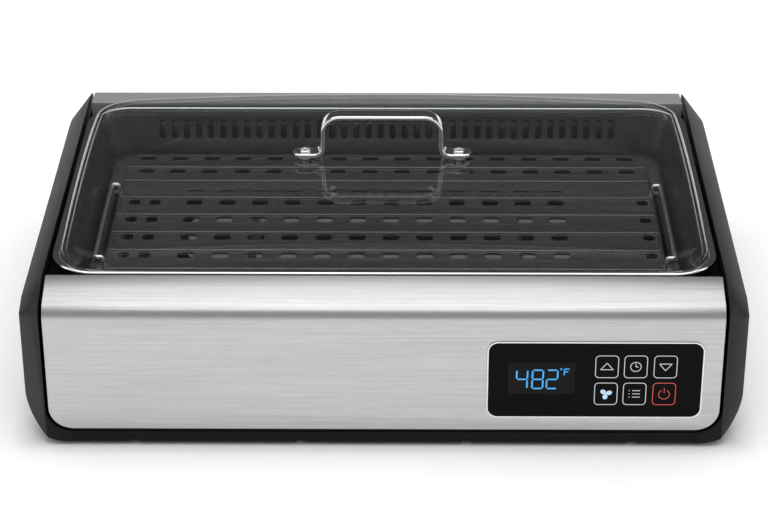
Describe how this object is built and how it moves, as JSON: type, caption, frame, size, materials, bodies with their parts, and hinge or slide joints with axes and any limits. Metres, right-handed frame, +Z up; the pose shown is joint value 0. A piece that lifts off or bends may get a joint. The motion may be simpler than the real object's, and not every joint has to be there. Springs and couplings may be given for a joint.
{
  "type": "smokeless indoor grill",
  "caption": "Wide low electric table grill: steel front and back, dark end caps, ribbed non-stick plate in a deep well, lift-off domed glass lid, touch panel and rear fan.",
  "frame": {"origin": "middle of the footprint, on the surface that the feet stand on", "axes": "+X to the user's right along the long side, +Y to the back, +Z up; the control panel faces -Y"},
  "size_m": [0.54, 0.3672, 0.1897],
  "materials": {
    "case_plastic": "fine matt moulding",
    "cap_plastic": "satin dark grey moulding",
    "rubber": "matt",
    "brushed_steel": "brushed along the length",
    "well_coating": "satin non-stick coating",
    "plate_coating": "satin non-stick coating",
    "bright_steel": "polished",
    "element_steel": "drawn tube, satin",
    "plain_steel": "plain sheet",
    "tray_metal": "dark coating",
    "brass": "plain",
    "clear_glass": "clear, polished",
    "black_glass": "high gloss",
    "circuit_board": "solder mask",
    "screw_steel": "zinc plated",
    "part_plastic": "moulded"
  },
  "bodies": {
    "housing": {"base_pan": "case_plastic", "base_screws": "screw_steel", "board_screws": "screw_steel", "cap_screws": "screw_steel", "control_carrier": "case_plastic", "control_frame": "bright_steel", "control_glass": "black_glass", "cooking_well": "well_coating", "display_module": "black_glass", "element_rests": "plain_steel", "element_socket": "case_plastic", "exhaust_grille": "case_plastic", "fan_duct": "case_plastic", "fan_frame": "case_plastic", "fan_screws": "screw_steel", "front_panel": "brushed_steel", "heat_shield_tank": "plain_steel", "inlet_pins": "brass", "inlet_screws": "screw_steel", "left_end_cap": "cap_plastic", "plate_frame": "well_coating", "power_board": "circuit_board", "power_board_screws": "screw_steel", "power_capacitor": "part_plastic", "power_inlet": "case_plastic", "power_relay": "part_plastic", "power_transformer": "plain_steel", "rear_panel": "brushed_steel", "rear_screws": "screw_steel", "right_end_cap": "cap_plastic", "rubber_feet": "rubber", "smoke_filter": "plain_steel", "tank_screws": "screw_steel", "temperature_sensor": "plain_steel", "thermal_fuse": "part_plastic", "top_deck": "case_plastic", "touch_board": "circuit_board", "touch_springs": "brass"},
    "drip_tray": {"drip_tray": "tray_metal"},
    "element": {"heating_element": "element_steel", "element_cross_bars": "plain_steel", "element_clips": "plain_steel", "terminal_block": "case_plastic", "terminal_blades": "brass"},
    "plate": {"grill_plate": "plate_coating", "plate_grip_left": "bright_steel", "plate_grip_right": "bright_steel"},
    "lid": {"lid_rim": "bright_steel", "lid_glass": "clear_glass", "lid_handle": "bright_steel", "handle_screws": "bright_steel", "handle_washers": "plain_steel", "handle_nuts": "plain_steel"},
    "fan": {"fan_rotor": "case_plastic"}
  },
  "joints": [
    {"name": "tray_lift", "type": "slide", "parent": "housing", "child": "drip_tray", "axis": [0, 0, 1], "range_m": [0, 0.11]},
    {"name": "element_lift", "type": "slide", "parent": "drip_tray", "child": "element", "axis": [0, 0, 1], "range_m": [0, 0.08]},
    {"name": "plate_lift", "type": "slide", "parent": "element", "child": "plate", "axis": [0, 0, 1], "range_m": [0, 0.06]},
    {"name": "lid_lift", "type": "slide", "parent": "plate", "child": "lid", "axis": [0, 0, 1], "range_m": [0, 0.08]},
    {"name": "fan_spin", "type": "hinge", "parent": "housing", "child": "fan", "pos_m": [0, 0.159, 0.058], "axis": [0, 1, 0], "continuous": true}
  ]
}
